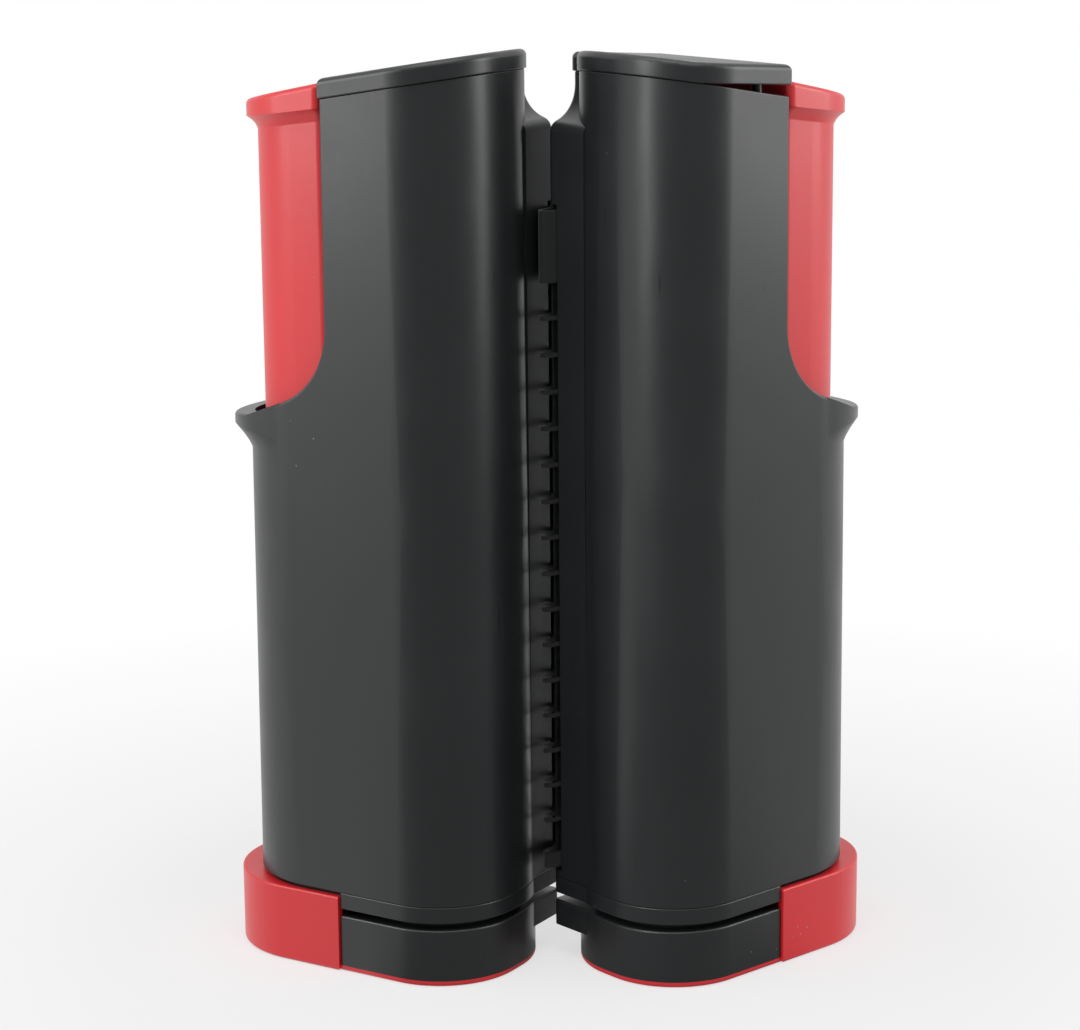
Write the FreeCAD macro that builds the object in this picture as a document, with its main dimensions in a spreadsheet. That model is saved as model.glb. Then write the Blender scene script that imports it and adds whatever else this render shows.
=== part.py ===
# Pair of clamp posts for a retractable table tennis net, standing side by side in a V.
# Lengths in millimetres, angles in degrees.
# Each post is drawn in its own frame: x runs towards the net, y across the post and z up, with the
# net roller's axis at x = y = 0. The far side, where the net leaves, is +y on the left post and -y
# on the right one. Two placements then stand the posts on the ground in front of the viewer.
import FreeCAD, Part
import math
import os
import Sketcher

doc = FreeCAD.newDocument("net_clamp_pair")

# Driving dimensions.
SIZES = (
    # housing outline at its foot, seen from above
    ("body_half", 20.15),
    ("net_radius", 18.1),
    ("outer_centre", 25.85),
    ("draft", 0.22),
    ("wall", 2.2),
    # heights of the seams
    ("base_bottom", 14.4),
    ("base_top", 18.1),
    ("head_room", 30.2),
    ("top_slope", 9.8),
    ("cap_thick", 4.2),
    ("cap_overhang", 0.45),
    ("cap_round", 1.3),
    ("cap_lift", 2.5),
    ("cap_lift_x", 8.6),
    ("seam_round", 0.3),
    # squared far corner of the net end, and the wider net outlet below it
    ("neck_x", 9.9),
    ("outlet_x", 17.0),
    ("outlet_inset", 0.8),
    ("hood_hollow", 7.6),
    ("hood_round", 2.5),
    ("outlet_drop", 13.8),
    ("outlet_round", 1.4),
    ("slot_width", 1.4),
    ("slot_wall", 2.95),
    ("slot_margin", 1.2),
    # net
    ("net_bottom", 21.0),
    ("net_height", 146.0),
    ("net_thick", 0.55),
    ("net_bend", 1.8),
    ("net_tuck", 2.0),
    ("roll_radius", 13.2),
    # opening for the slider, seen from the side
    ("cut_edge", 16.4),
    ("cut_arc_rise", 20.8),
    ("cut_run", 22.0),
    ("grip_span", 75.0),
    ("cut_round", 0.6),
    ("cut_radius", 18.1),
    ("divider", 2.2),
    # finger lip
    ("lip_reach", 4.9),
    ("lip_fold", 11.2),
    ("lip_rim", 3.2),
    ("lip_slope", 7.5),
    ("lip_tuck", 0.3),
    ("rim_round", 0.8),
    ("lip_gap", 2.3),
    ("lip_gap_depth", 5.0),
    # slider
    ("slider_wall", 2.4),
    ("channel_wall", 2.95),
    ("slider_play", 0.5),
    ("slider_roof", 5.0),
    ("slider_corner", 2.5),
    ("flange_drop", 2.6),
    ("flange_slope", 12.0),
    ("flange_rim", 5.3),
    ("rim_slope", 8.0),
    ("flange_flare", 3.3),
    ("flange_reach", 2.3),
    ("flange_corner", 1.7),
    ("flange_round", 1.2),
    ("flange_tuck", 0.1),
    ("bridge_width", 8.0),
    ("stroke", 48.0),
    # foot
    ("foot_plate", 1.3),
    ("foot_extra", 4.85),
    ("collar_proud", 0.6),
    ("collar_top", 17.2),
    ("collar_edge", 15.4),
    ("collar_step", 1.5),
    ("block_top", 12.85),
    ("edge_round", 0.5),
    ("tongue_bottom", 7.0),
    ("bottom_round", 0.9),
    # jaw pads
    ("pad_proud", 0.6),
    ("pad_recess", 1.0),
    ("pad_margin", 3.2),
    ("pad_back", 6.0),
    ("pad_play", 0.1),
    # clamp spring and its rod
    ("rod_radius", 1.6),
    ("rod_offset", 3.15),
    ("rod_clear", 18.5),
    ("coil_radius", 3.4),
    ("coil_wire", 0.6),
    ("coil_turns", 34),
    ("coil_gap", 0.15),
    # roller
    ("axle_radius", 1.5),
    ("axle_seat", 1.9),
    ("axle_drop", 7.2),
    ("socket_depth", 6.0),
    ("rod_seat", 2.6),
    ("roller_radius", 5.0),
    ("roller_wall", 1.1),
    ("bush_length", 8.0),
    ("bush_flange", 1.0),
    ("running_fit", 0.05),
    ("press_fit", 0.02),
    ("rewind_radius", 2.75),
    ("rewind_wire", 0.35),
    ("rewind_turns", 30),
    # screws and their bosses
    ("boss_x", 10.8),
    ("boss_inset", 4.95),
    ("boss_radius", 2.9),
    ("boss_height", 12.0),
    ("screw_radius", 1.1),
    ("screw_head", 2.3),
    ("screw_length", 9.0),
    ("front_screw_x", 4.0),
    ("front_screw_y", 9.0),
    ("rear_screw_offset", 8.15),
    ("rear_screw_y", 9.0),
    # smallest clearance between pieces that move past each other
    ("play", 0.4),
    # how the two posts stand
    ("left_turn", 30.5),
    ("right_turn", 42.3),
    ("left_x", -26.8),
    ("left_y", 15.2),
    ("right_x", 22.0),
    ("right_y", 13.5),
)

# Sizes that follow from the ones above.
DERIVED = (
    ("seam_height", "net_bottom + net_height + head_room"),
    ("flange_height", "seam_height - flange_drop"),
    ("rim_foot", "flange_height - flange_rim"),
    ("outlet_top", "seam_height - outlet_drop"),
    ("outlet_near", "body_half * 0.4"),
    ("outlet_far", "body_half - outlet_inset"),
    ("slot_middle", "body_half - slot_wall"),
    ("slider_radius", "body_half - channel_wall - slider_play"),
    ("cut_foot_height", "seam_height - grip_span"),
    ("cut_arc_height", "cut_foot_height + cut_arc_rise"),
    ("cut_foot_x", "cut_edge + cut_run"),
    ("lip_height", "cut_foot_height - lip_rim"),
    ("lip_start", "cut_foot_height - lip_fold"),
    ("boss_y", "body_half - boss_inset"),
    ("axle_top", "seam_height - axle_drop"),
    ("axle_socket", "axle_top - socket_depth"),
    ("rod_x", "outer_centre + rod_offset"),
    ("rear_screw_x", "outer_centre + rear_screw_offset"),
)

sheet = doc.addObject("Spreadsheet::Sheet", "dims")
for row, (alias, size) in enumerate(SIZES + DERIVED, start=1):
    sheet.set("A%d" % row, alias)
    sheet.set("B%d" % row, "=" + size if isinstance(size, str) else str(size))
    sheet.setAlias("B%d" % row, alias)
doc.recompute()


def value(expression):
    """Number that an expression on the sheet gives now."""
    result = sheet.evalExpression(expression)
    return float(getattr(result, "Value", result))


def minus(expression):
    return "-(%s)" % expression


def bind(feature, name, expression):
    feature.setExpression(name, expression)


def new_body(label):
    body = doc.addObject("PartDesign::Body", label)
    body.Label = label
    return body


def new_sketch(body, plane="XY_Plane", height=None):
    """Empty sketch on one of the body's origin planes, lifted to a height."""
    sketch = body.newObject("Sketcher::SketchObject", "sketch")
    for feature in body.Origin.OriginFeatures:
        if feature.Role == plane:
            sketch.AttachmentSupport = (feature, [""])
    sketch.MapMode = "FlatFace"
    if height is not None:
        bind(sketch, "AttachmentOffset.Base.z", height)
    return sketch


def fix(sketch, kind, geometry, expression):
    """Size of a circle or arc."""
    index = sketch.addConstraint(Sketcher.Constraint(kind, geometry, value(expression)))
    bind(sketch, "Constraints[%d]" % index, expression)


def place(sketch, geometry, point, axis, expression):
    """Coordinate of a point of the sketch, measured from the sketch's origin."""
    here = value(expression)
    if abs(here) < 1e-9:
        sketch.addConstraint(Sketcher.Constraint("PointOnObject", geometry, point, -2 if axis == "X" else -1))
        return
    kind = "Distance" + axis
    if here > 0:
        index = sketch.addConstraint(Sketcher.Constraint(kind, -1, 1, geometry, point, here))
        bind(sketch, "Constraints[%d]" % index, expression)
    else:
        index = sketch.addConstraint(Sketcher.Constraint(kind, geometry, point, -1, 1, -here))
        bind(sketch, "Constraints[%d]" % index, minus(expression))


def line(sketch, start, end):
    return sketch.addGeometry(Part.LineSegment(FreeCAD.Vector(*start, 0), FreeCAD.Vector(*end, 0)), False)


def arc(sketch, centre, radius, start, end):
    circle = Part.Circle(FreeCAD.Vector(*centre, 0), FreeCAD.Vector(0, 0, 1), radius)
    return sketch.addGeometry(Part.ArcOfCircle(circle, math.radians(start), math.radians(end)), False)


def polygon(sketch, points):
    """Closed outline through points given as pairs of expressions."""
    spots = [(value(x), value(y)) for x, y in points]
    sides = [line(sketch, spots[i], spots[(i + 1) % len(spots)]) for i in range(len(spots))]
    for i, side in enumerate(sides):
        sketch.addConstraint(Sketcher.Constraint("Coincident", side, 2, sides[(i + 1) % len(sides)], 1))
    for side, (x, y) in zip(sides, points):
        place(sketch, side, 1, "X", x)
        place(sketch, side, 1, "Y", y)


def rectangle(sketch, x0, x1, y0, y1):
    polygon(sketch, ((x0, y0), (x1, y0), (x1, y1), (x0, y1)))


def disc(sketch, x, y, radius):
    circle = Part.Circle(FreeCAD.Vector(value(x), value(y), 0), FreeCAD.Vector(0, 0, 1), value(radius))
    index = sketch.addGeometry(circle, False)
    fix(sketch, "Radius", index, radius)
    place(sketch, index, 3, "X", x)
    place(sketch, index, 3, "Y", y)


def join(sketch, pieces):
    """Tangent joints round a closed loop of pieces, each from its end to the next one's start."""
    for (first, first_end), (second, second_start) in pieces:
        sketch.addConstraint(Sketcher.Constraint("Tangent", first, first_end, second, second_start))


def rounded_outline(sketch, half, outer, inner, corner):
    """Half-round outer end, straight sides, and a straight wall between two round corners."""
    h, c, b, k = value(half), value(outer), value(inner), value(corner)
    end = arc(sketch, (-c, 0), h, 90, 270)
    near = line(sketch, (-c, -h), (b - k, -h))
    near_corner = arc(sketch, (b - k, k - h), k, 270, 360)
    face = line(sketch, (b, k - h), (b, h - k))
    far_corner = arc(sketch, (b - k, h - k), k, 0, 90)
    far = line(sketch, (b - k, h), (-c, h))
    join(sketch, (((end, 2), (near, 1)), ((near, 2), (near_corner, 1)), ((near_corner, 2), (face, 1)),
                  ((face, 2), (far_corner, 1)), ((far_corner, 2), (far, 1)), ((far, 2), (end, 1))))
    sketch.addConstraint(Sketcher.Constraint("Horizontal", near))
    sketch.addConstraint(Sketcher.Constraint("Horizontal", far))
    sketch.addConstraint(Sketcher.Constraint("Vertical", face))
    sketch.addConstraint(Sketcher.Constraint("PointOnObject", end, 3, -1))
    sketch.addConstraint(Sketcher.Constraint("Equal", near_corner, far_corner))
    fix(sketch, "Radius", near_corner, corner)
    fix(sketch, "Radius", end, half)
    place(sketch, end, 3, "X", minus(outer))
    place(sketch, face, 1, "X", inner)


def post_outline(sketch, half, radius, outer):
    """The post from above: a half-round outer end and two wide corners at the net end."""
    rounded_outline(sketch, half, outer, radius, radius)


def chamber_outline(sketch, half, radius, back):
    """The net end of the post, closed by a straight wall at the back."""
    h, r, b = value(half), value(radius), value(back)
    near = line(sketch, (b, -h), (0, -h))
    near_corner = arc(sketch, (0, r - h), r, 270, 360)
    face = line(sketch, (r, r - h), (r, h - r))
    far_corner = arc(sketch, (0, h - r), r, 0, 90)
    far = line(sketch, (0, h), (b, h))
    wall = line(sketch, (b, h), (b, -h))
    join(sketch, (((near, 2), (near_corner, 1)), ((near_corner, 2), (face, 1)),
                  ((face, 2), (far_corner, 1)), ((far_corner, 2), (far, 1))))
    sketch.addConstraint(Sketcher.Constraint("Coincident", far, 2, wall, 1))
    sketch.addConstraint(Sketcher.Constraint("Coincident", wall, 2, near, 1))
    sketch.addConstraint(Sketcher.Constraint("Horizontal", near))
    sketch.addConstraint(Sketcher.Constraint("Horizontal", far))
    sketch.addConstraint(Sketcher.Constraint("Vertical", wall))
    sketch.addConstraint(Sketcher.Constraint("Vertical", face))
    sketch.addConstraint(Sketcher.Constraint("Equal", near_corner, far_corner))
    sketch.addConstraint(Sketcher.Constraint("PointOnObject", near_corner, 3, -2))
    fix(sketch, "Radius", near_corner, radius)
    place(sketch, near, 1, "X", back)
    place(sketch, near, 1, "Y", minus(half))
    place(sketch, far, 2, "Y", half)


def column_outline(sketch, radius, outer, inner):
    """Half-round end with straight sides and a straight wall: what the slider runs in."""
    r, c, b = value(radius), value(outer), value(inner)
    end = arc(sketch, (-c, 0), r, 90, 270)
    near = line(sketch, (-c, -r), (b, -r))
    wall = line(sketch, (b, -r), (b, r))
    far = line(sketch, (b, r), (-c, r))
    join(sketch, (((end, 2), (near, 1)), ((far, 2), (end, 1))))
    sketch.addConstraint(Sketcher.Constraint("Coincident", near, 2, wall, 1))
    sketch.addConstraint(Sketcher.Constraint("Coincident", wall, 2, far, 1))
    sketch.addConstraint(Sketcher.Constraint("Horizontal", near))
    sketch.addConstraint(Sketcher.Constraint("Horizontal", far))
    sketch.addConstraint(Sketcher.Constraint("Vertical", wall))
    sketch.addConstraint(Sketcher.Constraint("PointOnObject", end, 3, -1))
    fix(sketch, "Radius", end, radius)
    place(sketch, end, 3, "X", minus(outer))
    place(sketch, wall, 1, "X", inner)


def pad(body, sketch, length, taper=None):
    feature = body.newObject("PartDesign::Pad", "pad")
    feature.Profile = sketch
    bind(feature, "Length", length)
    if taper is not None:
        bind(feature, "TaperAngle", taper)
    sketch.Visibility = False
    return feature


def pocket(body, sketch, length, upward=False, both_ways=False):
    """Cut downward from the sketch, upward from it, or to both sides of it."""
    feature = body.newObject("PartDesign::Pocket", "pocket")
    feature.Profile = sketch
    bind(feature, "Length", length)
    if both_ways:
        feature.SideType = "Symmetric"
    feature.Reversed = upward
    sketch.Visibility = False
    return feature


def round_edges(body, picked, radius):
    """Fillet on the edges of the body's present shape that the test picks."""
    doc.recompute()
    tip = body.Tip
    names = ["Edge%d" % (i + 1) for i, edge in enumerate(tip.Shape.Edges) if picked(edge)]
    if not names:
        raise RuntimeError("no edge to round on " + body.Label)
    feature = body.newObject("PartDesign::Fillet", "fillet")
    feature.Base = (tip, names)
    bind(feature, "Radius", radius)
    return feature


def group(label, pieces):
    """Separate solids that share one node."""
    compound = doc.addObject("Part::Compound", label)
    compound.Label = label
    compound.Links = pieces
    return compound


def cylinder(label, x, y, z, radius, height):
    piece = doc.addObject("Part::Cylinder", label)
    piece.Label = label
    bind(piece, "Radius", radius)
    bind(piece, "Height", height)
    bind(piece, "Placement.Base.x", x)
    bind(piece, "Placement.Base.y", y)
    bind(piece, "Placement.Base.z", z)
    return piece


def difference(label, outer, inner):
    cut = doc.addObject("Part::Cut", label)
    cut.Label = label
    cut.Base = outer
    cut.Tool = inner
    return cut


def union(label, pieces):
    fuse = doc.addObject("Part::MultiFuse", label)
    fuse.Label = label
    fuse.Shapes = pieces
    return fuse


# Expressions that several pieces share.
SLOPE = "tan(dims.top_slope * 1 deg)"
SEAM = "dims.seam_height - " + SLOPE + " * (dims.net_radius - (%s))"
CAP_TOP = SEAM + " + dims.cap_thick"
SHRINK = "tan(dims.draft * 1 deg) * (%s - dims.base_top)"
COLUMN_WALL = "-(dims.cut_edge + dims.slider_play)"
HOLLOW_RADIUS = "dims.slider_radius - dims.slider_wall"
HOLLOW_WALL = "-(dims.cut_edge + dims.slider_play + dims.slider_wall)"
CHANNEL_RADIUS = "dims.slider_radius + dims.slider_play"
LIP_RADIUS = "dims.body_half - dims.lip_tuck - " + SHRINK % "dims.lip_height"
CHAMBER_BACK = "-(dims.cut_edge - dims.divider)"
OUTER_END = "dims.outer_centre + dims.slider_radius"
RIM_LOW = "dims.rim_foot - tan(dims.rim_slope * 1 deg) * (" + OUTER_END + " - dims.cut_edge)"
FLANGE_LOW = "dims.flange_height - tan(dims.flange_slope * 1 deg) * (" + OUTER_END + " - dims.cut_edge)"
ROOF = FLANGE_LOW + " - dims.slider_roof"
ROD_TOP = ROOF + " - dims.stroke - dims.rod_clear"
COLLAR_CENTRE = "dims.outer_centre + dims.foot_extra"
COLLAR_INSIDE = "dims.body_half - dims.collar_step + dims.play"
TUBE_BOTTOM = "dims.base_top + dims.play + dims.bush_flange"
TUBE_TOP = "dims.net_bottom + dims.net_height + dims.net_bottom - (" + TUBE_BOTTOM + ")"
SCREW_HEAD_HEIGHT = "dims.screw_head - dims.screw_radius"


def across(hand, near, far):
    """Range across the post, on its far side for either hand."""
    return (near, far) if hand > 0 else (minus(far), minus(near))


def square_corner(body, hand, face, half, bottom, top, radius):
    """Squared far corner of the net end from one height to another, with its upright edge rounded."""
    sketch = new_sketch(body, height=bottom)
    y0, y1 = across(hand, "dims.outlet_near", half)
    rectangle(sketch, "0", face, y0, y1)
    pad(body, sketch, "%s - (%s)" % (top, bottom))
    reach = value(face)

    def corner(edge):
        """Whether an edge is the upright one of the far corner."""
        box = edge.BoundBox
        return box.XLength < 0.01 and box.YLength < 0.01 and abs(box.XMax - reach) < 0.01

    round_edges(body, corner, radius)


def outlet_and_neck(body, hand):
    """Far corner of the housing: the outlet sweeps up in a hollow to the narrower neck under the cap."""
    hollow, hood = value("dims.hood_hollow"), value("dims.hood_round")
    x, neck, level = value("dims.outlet_x"), value("dims.neck_x"), value("dims.outlet_top")
    low, high = value("dims.base_top"), value(CAP_TOP % "dims.net_radius")
    turn = math.acos(1 - (x - neck) / (hollow + hood))
    climb = (hollow + hood) * math.sin(turn)
    side = new_sketch(body, "XZ_Plane")
    bind(side, "AttachmentOffset.Base.z", "dims.outlet_near" if hand < 0 else "-dims.outlet_near")
    front = line(side, (x, low), (x, level))
    over = arc(side, (x - hood, level), hood, 0, math.degrees(turn))
    sweep = arc(side, (neck + hollow, level + climb), hollow, 180, 180 + math.degrees(turn))
    rise = line(side, (neck, level + climb), (neck, high))
    head = line(side, (neck, high), (0, high))
    back = line(side, (0, high), (0, low))
    foot = line(side, (0, low), (x, low))
    tangents = ((front, 2, over, 1), (over, 2, sweep, 2), (sweep, 1, rise, 1))
    for first, first_end, second, second_end in tangents:
        side.addConstraint(Sketcher.Constraint("Tangent", first, first_end, second, second_end))
    for first, second in ((rise, head), (head, back), (back, foot), (foot, front)):
        side.addConstraint(Sketcher.Constraint("Coincident", first, 2, second, 1))
    for flat in (head, foot):
        side.addConstraint(Sketcher.Constraint("Horizontal", flat))
    for upright in (front, rise, back):
        side.addConstraint(Sketcher.Constraint("Vertical", upright))
    fix(side, "Radius", over, "dims.hood_round")
    fix(side, "Radius", sweep, "dims.hood_hollow")
    place(side, foot, 1, "X", "0")
    place(side, front, 1, "X", "dims.outlet_x")
    place(side, front, 1, "Y", "dims.base_top")
    place(side, front, 2, "Y", "dims.outlet_top")
    place(side, rise, 1, "X", "dims.neck_x")
    place(side, head, 1, "Y", CAP_TOP % "dims.net_radius")
    block = pad(body, side, "dims.outlet_far - dims.outlet_near")
    block.Reversed = hand > 0
    far, reach = value("dims.outlet_far"), neck - 0.01

    def far_corner(edge):
        """Whether an edge runs up the far corner."""
        on_side = all(abs(abs(point.y) - far) < 0.01 for point in edge.discretize(5))
        return on_side and edge.BoundBox.XMin > reach

    round_edges(body, far_corner, "dims.outlet_round")


def in_plane(edge, height):
    """Whether an edge lies in the plane that slopes like the top and has this height over the axle."""
    slope, middle = value(SLOPE), value(height)
    return all(abs(point.z - slope * point.x - middle) < 0.01 for point in edge.discretize(5))


def housing(side, hand):
    body = new_body(side + "_housing")
    outlet_and_neck(body, hand)
    outline = new_sketch(body, height="dims.base_top")
    post_outline(outline, "dims.body_half", "dims.net_radius", "dims.outer_centre")
    pad(body, outline, CAP_TOP % "dims.net_radius" + " - dims.base_top", taper=minus("dims.draft"))

    # the slider's opening, seen from the side
    opening = new_sketch(body, "XZ_Plane")
    edge, arc_z, r = value("dims.cut_edge"), value("dims.cut_arc_height"), value("dims.cut_radius")
    foot_x, foot_z = value("dims.cut_foot_x"), value("dims.cut_foot_height")
    down = FreeCAD.Vector(edge + r - foot_x, foot_z - arc_z, 0)
    touch = math.atan2(down.y, down.x) + math.acos(r / down.Length)
    end = (-edge - r + r * math.cos(touch), arc_z + r * math.sin(touch))
    high, wide = value("dims.seam_height + dims.body_half * 3"), value("dims.body_half * 3")
    upright = line(opening, (-edge, high), (-edge, arc_z))
    bend = arc(opening, (-edge - r, arc_z), r, math.degrees(touch), 0)
    ramp = line(opening, end, (-foot_x, foot_z))
    low = foot_z - wide * value("tan(dims.lip_slope * 1 deg)")
    lip = line(opening, (-foot_x, foot_z), (-foot_x - wide, low))
    back = line(opening, (-foot_x - wide, low), (-foot_x - wide, high))
    top = line(opening, (-foot_x - wide, high), (-edge, high))
    opening.addConstraint(Sketcher.Constraint("Tangent", upright, 2, bend, 2))
    opening.addConstraint(Sketcher.Constraint("Tangent", bend, 1, ramp, 1))
    for first, second in ((ramp, lip), (lip, back), (back, top), (top, upright)):
        opening.addConstraint(Sketcher.Constraint("Coincident", first, 2, second, 1))
    opening.addConstraint(Sketcher.Constraint("Horizontal", top))
    for steep in (upright, back):
        opening.addConstraint(Sketcher.Constraint("Vertical", steep))
    fix(opening, "Radius", bend, "dims.cut_radius")
    place(opening, bend, 3, "Y", "dims.cut_arc_height")
    place(opening, upright, 2, "X", "-dims.cut_edge")
    place(opening, ramp, 2, "X", "-dims.cut_foot_x")
    place(opening, ramp, 2, "Y", "dims.cut_foot_height")
    place(opening, back, 1, "X", "-dims.cut_foot_x - dims.body_half * 3")
    place(opening, back, 1, "Y", "dims.cut_foot_height - dims.body_half * 3 * tan(dims.lip_slope * 1 deg)")
    place(opening, top, 1, "Y", "dims.seam_height + dims.body_half * 3")
    pocket(body, opening, "dims.body_half * 4", both_ways=True)

    arc_x, upright_x, lip_slope = -edge - r, -edge, value("tan(dims.lip_slope * 1 deg)")

    def on_cut(edge):
        """Whether an edge runs along the opening on the outside of the housing."""
        for point in edge.discretize(5):
            dx, dz = point.x - arc_x, point.z - arc_z
            on_upright = abs(point.x - upright_x) < 0.01 and point.z > arc_z - 0.01
            on_bend = abs(math.hypot(dx, dz) - r) < 0.01 and dz < 0.01
            on_ramp = abs(dx * math.cos(touch) + dz * math.sin(touch) - r) < 0.01
            on_lip = abs(point.z - foot_z - lip_slope * (point.x + foot_x)) < 0.01
            before_foot = on_ramp and point.x > -foot_x - 0.01
            past_foot = on_lip and point.x < -foot_x + 0.01
            if not (on_upright or on_bend or before_foot or past_foot):
                return False
        box = edge.BoundBox
        return box.XLength > 0.01 or box.ZLength > box.YLength

    round_edges(body, on_cut, "dims.cut_round")

    # flared finger lip round the outer end
    sections = []
    for share, reach in ((0, "-dims.lip_tuck"), (0.5, "dims.lip_reach * 0.2"),
                         (0.85, "dims.lip_reach * 0.72"), (1, "dims.lip_reach")):
        section = new_sketch(body, height="dims.lip_start + (dims.lip_height - dims.lip_start) * %g" % share)
        column_outline(section, LIP_RADIUS, "dims.outer_centre + " + reach, "-dims.outer_centre + dims.wall")
        sections.append(section)
    flare = body.newObject("PartDesign::AdditiveLoft", "flare")
    flare.Profile = sections[0]
    flare.Sections = sections[1:]
    rim = new_sketch(body, height="dims.lip_height")
    column_outline(rim, LIP_RADIUS, "dims.outer_centre + dims.lip_reach",
                   "-(dims.outer_centre + dims.lip_reach * 0.6)")
    pad(body, rim, "dims.lip_reach * 2")

    pocket(body, opening, "dims.body_half * 4", both_ways=True)
    round_edges(body, lambda edge: on_cut(edge) and edge.BoundBox.XMax < -foot_x + 0.01, "dims.rim_round")

    # sloping top, with softened edges at both seams
    above = new_sketch(body, "XZ_Plane")
    reach_x = "dims.body_half * 4"
    high_z = "dims.seam_height + dims.body_half * 3"
    polygon(above, ((minus(reach_x), SEAM % minus(reach_x)), (reach_x, SEAM % reach_x),
                    (reach_x, high_z), (minus(reach_x), high_z)))
    pocket(body, above, "dims.body_half * 4", both_ways=True)
    round_edges(body, lambda edge: in_plane(edge, SEAM % "0"), "dims.seam_round")
    round_edges(body, lambda edge: edge.BoundBox.ZMax < value("dims.base_top") + 0.01, "dims.seam_round")

    # net chamber, slider channel and the slot for the net
    chamber = new_sketch(body, height="dims.seam_height + dims.body_half")
    chamber_outline(chamber, "dims.body_half - dims.wall", "dims.net_radius - dims.wall", CHAMBER_BACK)
    pocket(body, chamber, "dims.seam_height + dims.body_half")
    channel = new_sketch(body, height="dims.seam_height + dims.body_half")
    column_outline(channel, CHANNEL_RADIUS, "dims.outer_centre", "-dims.cut_edge")
    pocket(body, channel, "dims.seam_height + dims.body_half")
    slot = new_sketch(body, height="dims.net_bottom - dims.slot_margin")
    y0, y1 = across(hand, "dims.slot_middle - dims.slot_width / 2", "dims.slot_middle + dims.slot_width / 2")
    rectangle(slot, "dims.net_radius * 0.2", "dims.outlet_x + dims.wall", y0, y1)
    pocket(body, slot, "dims.net_height + dims.slot_margin * 2", upward=True)

    # hollow of the lip behind the slider
    hollow = new_sketch(body, height="dims.cut_foot_height + dims.lip_reach")
    column_outline(hollow, CHANNEL_RADIUS, "dims.outer_centre + dims.lip_gap", "-dims.outer_centre")
    pocket(body, hollow, "dims.lip_reach + dims.lip_gap_depth")

    # bosses for the base plate's screws and the cap's pegs
    for low, high in (("dims.base_top", "dims.base_top + dims.boss_height"),
                      (SEAM % "-dims.boss_x" + " - dims.boss_height",
                       SEAM % "-(dims.boss_x + dims.boss_radius)")):
        bosses = new_sketch(body, height=low)
        for y in ("dims.boss_y", "-dims.boss_y"):
            disc(bosses, "-dims.boss_x", y, "dims.boss_radius")
        pad(body, bosses, "%s - (%s)" % (high, low))
        holes = new_sketch(body, height=low)
        for y in ("dims.boss_y", "-dims.boss_y"):
            disc(holes, "-dims.boss_x", y, "dims.screw_radius + dims.press_fit")
        pocket(body, holes, "%s - (%s)" % (high, low), upward=True)

    return body


def cap_line(height, lift):
    """Points of the cap's upper or lower side, net end first; a lifted cap rises behind its bend."""
    reach_x = "dims.body_half * 3"
    if not lift:
        return [(reach_x, height % reach_x), (minus(reach_x), height % minus(reach_x))]
    bend = "dims.cap_lift_x"
    rise = "dims.cap_lift * (%s + dims.cap_lift_x) / (dims.cut_edge + dims.cap_lift_x)" % reach_x
    return [(reach_x, height % reach_x), (bend, height % bend),
            (minus(reach_x), height % minus(reach_x) + " + " + rise)]


def top_cap(side, hand):
    lift = side == "right"
    body = new_body(side + "_top_cap")
    half = "dims.body_half - " + SHRINK % "dims.seam_height" + " + dims.cap_overhang"
    radius = "dims.net_radius - " + SHRINK % "dims.seam_height" + " + dims.cap_overhang"
    plan = new_sketch(body, height="dims.seam_height - dims.body_half")
    chamber_outline(plan, half, radius, "-dims.cut_edge")
    pad(body, plan, "dims.body_half * 2")
    square_corner(body, hand, "dims.neck_x + dims.cap_overhang", half, "dims.seam_height - dims.body_half",
                  "dims.seam_height + dims.body_half", "dims.outlet_round + dims.cap_overhang")
    reach_x = "dims.body_half * 3"
    above = new_sketch(body, "XZ_Plane")
    polygon(above, cap_line(CAP_TOP, lift) + [(minus(reach_x), "dims.seam_height + dims.body_half * 3"),
                                              (reach_x, "dims.seam_height + dims.body_half * 3")])
    pocket(body, above, "dims.body_half * 4", both_ways=True)
    below = new_sketch(body, "XZ_Plane")
    polygon(below, cap_line(SEAM, lift) + [(minus(reach_x), "dims.seam_height - dims.body_half * 3"),
                                           (reach_x, "dims.seam_height - dims.body_half * 3")])
    pocket(body, below, "dims.body_half * 4", both_ways=True)
    slope, lift_x = value(SLOPE), value("dims.cap_lift_x")
    rise = value("dims.cap_lift / (dims.cut_edge + dims.cap_lift_x)") if lift else 0

    def on_side(edge, height):
        """Whether an edge runs round the cap's top or bottom, and not across it at the bend."""
        middle = value(height % "0")
        points = edge.discretize(5)
        if all(abs(point.x - lift_x) < 0.01 for point in points):
            return False
        raised = [middle + slope * point.x + max(0, lift_x - point.x) * rise for point in points]
        return all(abs(point.z - z) < 0.01 for point, z in zip(points, raised))

    round_edges(body, lambda edge: on_side(edge, CAP_TOP), "dims.cap_round")
    round_edges(body, lambda edge: on_side(edge, SEAM), "dims.seam_round")
    pegs = new_sketch(body, height=SEAM % "-dims.boss_x" + " - dims.boss_height / 2")
    for y in ("dims.boss_y", "-dims.boss_y"):
        disc(pegs, "-dims.boss_x", y, "dims.screw_radius")
    pad(body, pegs, "dims.boss_height / 2 + dims.cap_thick / 2" + (" + dims.cap_lift" if lift else ""))
    socket = new_sketch(body, height="dims.axle_socket")
    disc(socket, "0", "0", "dims.axle_radius + dims.wall")
    pad(body, socket, SEAM % "0" + " + dims.cap_thick / 2 - dims.axle_socket")
    bore = new_sketch(body, height="dims.axle_socket")
    disc(bore, "0", "0", "dims.axle_radius + dims.press_fit")
    pocket(body, bore, "dims.axle_top - dims.axle_socket + dims.play", upward=True)
    return body


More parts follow.
